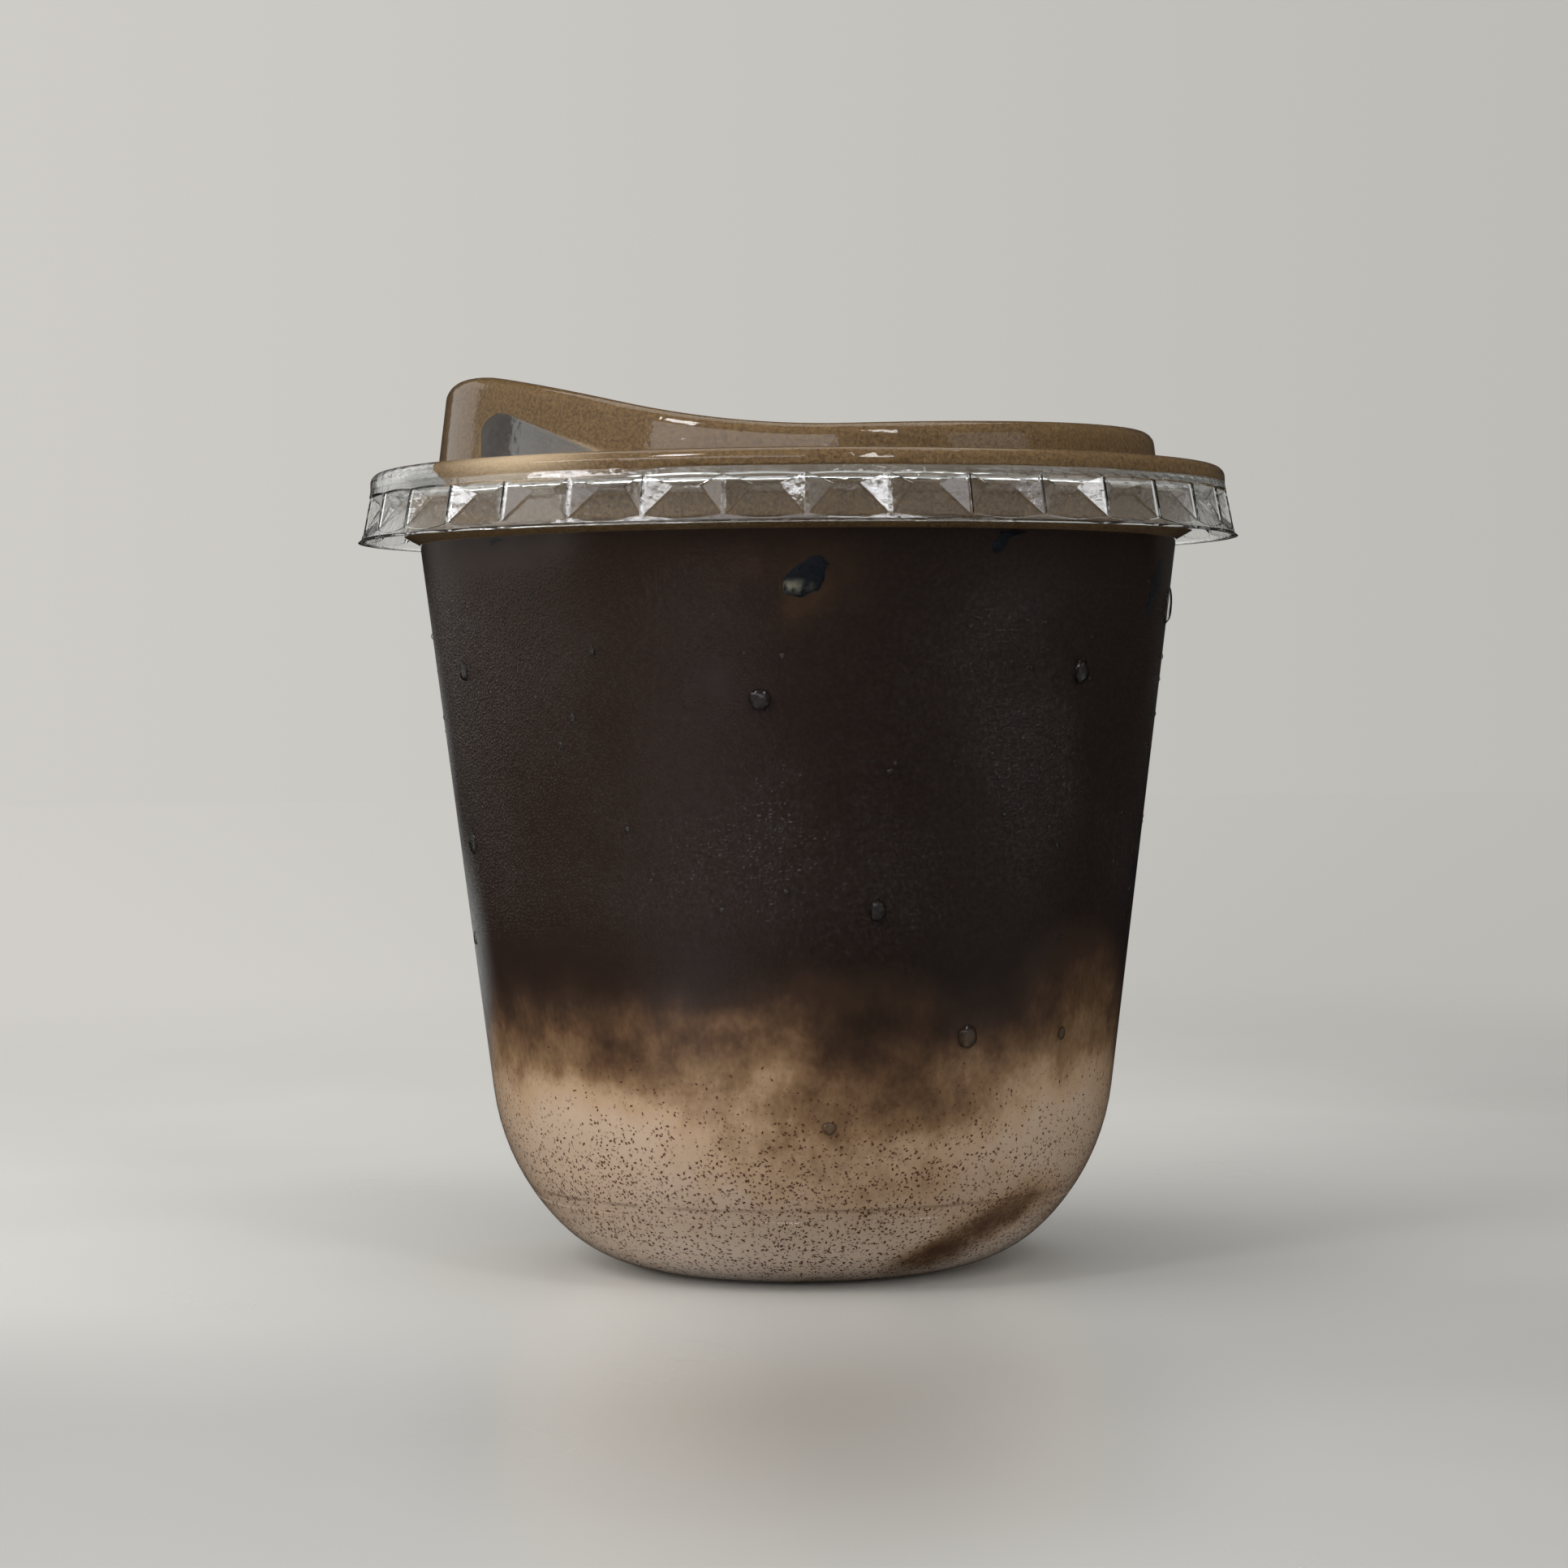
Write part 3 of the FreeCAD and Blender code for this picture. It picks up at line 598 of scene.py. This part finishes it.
def filmProfile(azimuth):
    curlX, curlZ, curlR = film["curl"]
    cornerX, cornerZ, cornerR = film["corner"]
    start, over, hang = film["hang"]
    rate, swing = film["wander"]
    top, middle, low = film["outer"]
    share = min(max((start - azimuth) / over, 0), 1)
    foot = film["foot"] - hang * share * share * (3 - 2 * share)
    foot = foot + swing * noise.noise(aim(azimuth) * rate)
    first = math.asin((foot - curlZ) / curlR)
    last = math.acos((film["inner"] - curlX) / curlR)
    turns = [first + (last - first) * i / 9 for i in range(10)]
    spots = [(curlX + curlR * math.cos(turn), curlZ + curlR * math.sin(turn)) for turn in turns]
    spots += [(film["inner"], cornerZ + cornerR)]
    spots += [(cornerX + cornerR * math.cos(math.radians(90 - 15 * i)),
               cornerZ + cornerR * math.sin(math.radians(90 - 15 * i))) for i in range(7)]
    spots += [(cornerX + cornerR, top)]
    lowX = max(curlX + curlR * math.cos(first) + film["thick"], 48.2)
    return spots + [(lowX + 0.06, (min(foot, middle) + middle) / 2), (lowX, min(foot, low) - 0.02)]


def foamFilm():
    build = bmesh.new()
    count = round((film["to"] - film["from"]) / film["step"])
    lean, swing = film["ragged"]
    rings = []
    for i in range(count + 1):
        azimuth = film["from"] + i * film["step"]
        ring = []
        for x, z in filmProfile(azimuth):
            end = (i == count) - (i == 0)
            ragged = end * ((z - 90) * lean + swing * noise.noise(Vector((0.7 * z, 3.0 * x, 0))))
            ring.append(build.verts.new((aim(azimuth + ragged) * x + Vector((0, 0, z))) * mm))
        rings.append(ring)
    for first, second in zip(rings, rings[1:]):
        for j in range(len(first)):
            k = (j + 1) % len(first)
            build.faces.new((first[j], first[k], second[k], second[j]))
    build.faces.new(rings[0][::-1])
    build.faces.new(rings[-1])
    bmesh.ops.recalc_face_normals(build, faces=build.faces)
    mesh = asMesh(build, "foamFilm")
    mesh.shade_smooth()
    mesh.set_sharp_from_angle(angle=math.radians(50))
    return mesh


newPiece("foamFilm", foamFilm(), brownFoam)
print("foam made")

# ice: only what presses on the wall shows through the tea
ice = {
    "side": 20.0,
    "square": 4.6,  # how boxy the cubes are
    "rough": 0.45,
    "proud": 0.1,  # how far past the tea's skin they may reach
    "below": 0.3,  # how far under the foam they stay
    "squat": 0.66,  # flattens the kind that touches with a corner
    "cubes": (  # azimuth, height, poke, kind of contact, spin, lean
        (-0.5, 79.6, 0.85, "corner", 35, 14), (-52.5, 81.6, 0.12, "edge", 4, 3),
        (26.5, 81.8, 0.1, "edge", -8, 4), (65.0, 76.4, 0.22, "edge", 3, 5.5),
        (71.5, 43.5, 0.12, "edge", -4, 3), (118, 70, 0.7, "corner", 15, 0),
        (158, 77, 0.3, "edge", 20, 3), (-152, 66, 0.9, "corner", 60, 4), (-110, 78, 0.3, "edge", -14, 4),
    ),
    "dark": linear(7, 11, 18),
    "cloudy": linear(20, 25, 30),
    "frost": linear(128, 124, 108),
    "frosted": ((-1.2, -43, 77.6), (3.4, 4, 1.1)),
}


def makeIce():
    skin = BVHTree.FromPolygons([v.co for v in teaPiece.data.vertices],
                                [p.vertices for p in teaPiece.data.polygons])
    build = bmesh.new()
    power, top = ice["square"], (foamLevel - ice["below"]) * mm
    for azimuth, height, poke, contact, spin, lean in ice["cubes"]:
        spot, normal = onSkin(skin, azimuth, height)
        cube = bmesh.ops.create_icosphere(build, subdivisions=5, radius=1)["verts"]
        outwards = Vector((1, 1, 1) if contact == "corner" else (1, 1, 0)).normalized()
        face = outwards.rotation_difference(Vector((0, 0, 1))).to_matrix().to_4x4()
        tilt = Matrix.Rotation(math.radians(lean), 4, "X")
        reach, squat = 0, ice["squat"] if contact == "corner" else 1
        for vert in cube:
            length = sum(abs(c) ** power for c in vert.co) ** (1 / power)
            vert.co *= ice["side"] / 2 / length
            dent = noise.noise(vert.co * 0.45 + Vector((azimuth, 0, 0)))
            vert.co += vert.co.normalized() * dent * ice["rough"]
            vert.co = tilt @ (face @ vert.co)
            vert.co.y *= squat
            reach = max(reach, vert.co.z)
        turned = standing(spot, normal, spin)
        for vert in cube:
            vert.co = turned @ ((vert.co + Vector((0, 0, poke - reach))) * mm)
            level = max(vert.co.z, 1 * mm)
            flat = Vector((vert.co.x, vert.co.y, 0))
            if flat.length > 20 * mm and level < top:
                way = flat.normalized()
                wall = skin.ray_cast(way * 0.1 + Vector((0, 0, level)), -way)[0]
                limit = Vector((wall.x, wall.y, 0)).length + ice["proud"] * mm
                if flat.length > limit:
                    vert.co = way * limit + Vector((0, 0, vert.co.z))
            vert.co.z = min(vert.co.z, top)
    bmesh.ops.recalc_face_normals(build, faces=build.faces)
    mesh = asMesh(build, "iceCubes")
    mesh.shade_smooth()
    return mesh


def iceMaterial():
    material, graph = newMaterial("darkIce")
    place = graph.place()
    cloud = graph.noise(place, 0.5, 4)
    grain = graph.cells(place, 3.0)
    frosty = graph.blob(place, *ice["frosted"]) * 0.7
    frosty = frosty * graph.between(0.35, 0.6, graph.noise(place, 1.1, 4))
    tone = graph.mix(graph.between(0.45, 0.75, cloud) * 0.5, ice["dark"], ice["cloudy"])
    tone = graph.mix(frosty, tone, ice["frost"])
    finished(graph, graph.plastic(tone, 0.5, Specular_IOR_Level=0.1,
                                  Normal=graph.bump(grain + cloud, 0.4, 0.2)))
    return material


newPiece("iceCubes", makeIce(), iceMaterial())
print("ice made")

# specks of roasted leaf, thickest low in the milk
specks = {
    "size": (1.0, 0.55, 0.5),  # an eight-sided grain
    "sunk": 0.35,
    "sizes": {  # per square millimetre; half the length of a grain
        "Density": 7.5, "Small": 0.12, "Large": 0.42, "Skew": 1.9, "Turn": math.tau, "Seed": 11,
    },
    "colours": (linear(70, 40, 32), linear(112, 72, 52)),
}


def speckShare(graph, place):
    z = graph.axes(place)[2]
    low = graph.between(33, 8, z)
    streaks = graph.between(0.3, 0.66, graph.noise(place, 0.35, 3, (1, 1, 1.7)))
    clumps = graph.between(0.25, 0.65, graph.noise(place, 0.12, 2))
    return low * low * (0.35 + 0.65 * streaks) * (0.55 + 0.45 * clumps) * graph.between(0.4, 1.2, z)


def grainMesh():
    build = bmesh.new()
    long, wide, tall = specks["size"]
    corners = [(long, 0, 0), (0, wide, 0), (-long, 0.15, 0), (0, -wide, 0)]
    ring = [build.verts.new((x, y, z - specks["sunk"] * tall)) for x, y, z in corners]
    top, under = (build.verts.new((0, 0, side * tall - specks["sunk"] * tall)) for side in (1, -1))
    for i in range(4):
        build.faces.new((ring[i], ring[(i + 1) % 4], top))
        build.faces.new((ring[(i + 1) % 4], ring[i], under))
    return asMesh(build, "grain")


def speckMaterial():
    material, graph = newMaterial("roastedLeaf")
    tone = graph.mix(graph.noise(graph.place(), 0.9, 2), *specks["colours"])
    finished(graph, graph.plastic(tone, 0.6, Specular_IOR_Level=0.1))
    return material


strew("leafSpecks", milkPiece.data.copy(), grainMesh(), speckShare, specks["sizes"], speckMaterial())
print("specks made")

# dew on the cup
dew = {
    "leather": 2.3,  # cells per millimetre
    "wiped": ((-9, -41, 67.5), (8.5, 12, 7.5)),  # a patch that the mist leaves out
    "fog": (  # centre, size, strength; the strong patches at the left edge are partly painted sheen of the light from the left
        ((-44.5, 2, 52), (7.5, 22, 34), 0.45), ((-40, -4, 34), (7, 20, 22), 0.3),
        ((46, 4, 50), (5, 18, 34), 0.05),
    ),
    "water": linear(250, 251, 251),
    # painted shade: the drops' rims darker, for the dark edge that refraction gives them
    "rim": linear(120, 112, 104),
    "drops": (  # azimuth, height, radius, tall
        (-6.0, 65.65, 1.2, 1.0), (12.0, 42.96, 0.92, 1.3), (28.7, 28.9, 1.15, 1.12), (47.1, 68.5, 1.15, 1.25),
        (-63.4, 69.2, 0.85, 1.45), (-69.6, 49.9, 0.8, 1.8), (-32.0, 71.0, 0.45, 1.1),
        (-36.7, 63.9, 0.45, 1.2), (4.3, 19.4, 0.8, 0.9), (50.8, 28.4, 0.6, 1.2), (-77.6, 38.6, 0.6, 1.4),
        (80.6, 76.1, 1.1, 2.0), (-120, 58, 1.0, 1.5), (-158, 47, 1.3, 1.2), (150, 62, 0.8, 1.1),
        (112, 36, 0.9, 1.7), (-140, 74, 0.7, 1.0), (176, 30, 0.7, 1.3), (98, 68, 0.6, 1.2),
    ),
    "sizes": {"Density": 0.35, "Small": 0.07, "Large": 0.42, "Skew": 3.5, "Turn": 0.0, "Seed": 5},
    "crowds": (  # centre, size, share
        ((27, -33, 70), (7, 8, 7), 0.9), ((-3, -43, 73), (5, 5, 5), 0.8),
        ((-28, -33, 58), (5, 9, 10), 0.3), ((-20, 36, 60), (12, 12, 14), 0.5),
    ),
    "wetness": 1.45,  # refractive index of the drops' gloss
}


def mist(graph, place):  # where fine dew lies, 0..1
    z = graph.axes(place)[2]
    patches = graph.between(0.36, 0.58, graph.noise(place, 0.04, 2))
    band = graph.between(30, 46, z) * graph.between(84, 72, z)
    return band * (0.35 + 0.65 * patches) * (1 - graph.blob(place, *dew["wiped"]))


def dropShare(graph, place):
    z = graph.axes(place)[2]
    share = mist(graph, place) * 0.12
    for centre, size, amount in dew["crowds"]:
        share = share + graph.blob(place, centre, size) * amount
    return share * graph.between(14, 22, z) * graph.between(83, 81, z)


def dropMesh(name, rounds, tall=1.0, flat=0.55, sunk=0.2, wobble=0.0):
    build = bmesh.new()
    bmesh.ops.create_icosphere(build, subdivisions=rounds, radius=1)
    for vert in build.verts:
        vert.co *= 1 + wobble * noise.noise(vert.co * 1.3 + Vector((tall * 7, 0, 0)))
        sag = 1 - 0.22 * (tall - 1) * vert.co.y
        depth = flat * (1 - 0.25 * vert.co.y * (tall - 1)) if vert.co.z > 0 else sunk
        vert.co = Vector((vert.co.x * sag, vert.co.y * tall, vert.co.z * depth))
    return asMesh(build, name)


def outerSkin():
    build = mergedCopy("cup")
    inner = [f for f in build.faces
             if f.normal.dot(Vector((*f.calc_center_median().xy, 0)).normalized()) < 0.3]
    bmesh.ops.delete(build, geom=inner, context="FACES")
    return build


def waterMaterial():
    material, graph = newMaterial("water")
    facing = graph.node("ShaderNodeLayerWeight", None, {"Blend": 0.35}, "Facing")
    # darker through the rim: painted shade for the edge of a lens of water
    middle, rim = (graph.node("ShaderNodeBsdfTransparent", None, {"Color": (*dew[tone], 1)})
                   for tone in ("water", "rim"))
    gloss = graph.node("ShaderNodeBsdfGlossy", None, {"Roughness": 0.07})
    sheen = graph.node("ShaderNodeFresnel", None, {"IOR": dew["wetness"]})
    finished(graph, graph.blend(sheen, graph.blend(facing, middle, rim), gloss))
    return material


def bigDrops(skin):
    build = bmesh.new()
    for azimuth, height, radius, tall in dew["drops"]:
        drop = dropMesh("drop", 4, tall, flat=0.5, sunk=0.12, wobble=0.12)
        spot, normal = onSkin(skin, azimuth, height)
        drop.transform(standing(spot, normal) @ Matrix.Scale(radius * mm, 4))
        build.from_mesh(drop)
        bpy.data.meshes.remove(drop)
    mesh = asMesh(build, "waterDrops")
    mesh.shade_smooth()
    return mesh


water = waterMaterial()
outside = outerSkin()
newPiece("waterDrops", bigDrops(BVHTree.FromBMesh(outside)), water)
small = dropMesh("smallDrop", 2)
small.shade_smooth()
strew("dewDrops", asMesh(outside, "outside"), small, dropShare, dew["sizes"], water)
print("dew made")


# clear plastic
clear = {
    "colour": (0.97, 0.98, 0.98, 1),
    "index": 1.5,
    "passed": (0.94, 0.94, 0.94, 1),  # lamplight that reaches what is behind it
    "veil": (0.78, 0.8, 0.8, 1),  # droplets too fine to tell apart
    "thin": 0.02,  # how much of them lies where there is mist
}


def clearBody(graph, roughness, normal):
    return graph.node("ShaderNodeBsdfPrincipled", None, {
        "Base Color": clear["colour"], "Roughness": roughness, "IOR": clear["index"],
        "Transmission Weight": 1.0, "Normal": normal})


def finishedClear(graph, body):
    through = graph.node("ShaderNodeBsdfTransparent", None, {"Color": clear["passed"]})
    finished(graph, graph.blend(graph.ray("Shadow"), body, through))


def cupMaterial():
    material, graph = newMaterial("clearCup")
    place = graph.place()
    thick = mist(graph, place)
    leather = graph.between(0.0, 0.5, graph.cells(place, dew["leather"], "DISTANCE_TO_EDGE"))
    ripple = graph.noise(place, 0.9, 3)
    fine = graph.noise(place, 5.0, 2)
    relief = (leather * 0.8 + ripple * 0.5 + fine * 0.3) * thick + ripple * 0.06
    body = clearBody(graph, 0.06 + thick * 0.12, graph.bump(relief, 0.35, 0.25))
    fog = thick * clear["thin"] * graph.between(0.5, 0.72, graph.noise(place, 2.6, 3))
    # the fog is real, but its strong patches at the left edge partly stand in for the sheen of the window
    # light there
    for centre, size, amount in dew["fog"]:
        fog = fog + graph.blob(place, centre, size) * amount
    fog = fog * (0.45 + 1.1 * graph.noise(place, 1.2, 4)) * graph.between(8, 26, graph.axes(place)[2])
    finishedClear(graph, graph.blend(fog, body, graph.plastic(clear["veil"], 0.9)))
    return material


def lidMaterial():
    material, graph = newMaterial("clearLid")
    place = graph.place()
    crazed = graph.cells(place, 1.1) * graph.between(90.2, 89.4, graph.axes(place)[2])
    waves = graph.noise(place, 0.35, 3) + graph.noise(place, 1.6, 3) * 0.25 + crazed * 0.25
    roughness = 0.02 + graph.noise(place, 0.8, 3) * 0.06
    finishedClear(graph, clearBody(graph, roughness, graph.bump(waves, 0.25, 0.15)))
    return material


nodes["cup"].material_slots[0].material = cupMaterial()
nodes["lid"].material_slots[0].material = lidMaterial()
print("cup and lid finished")
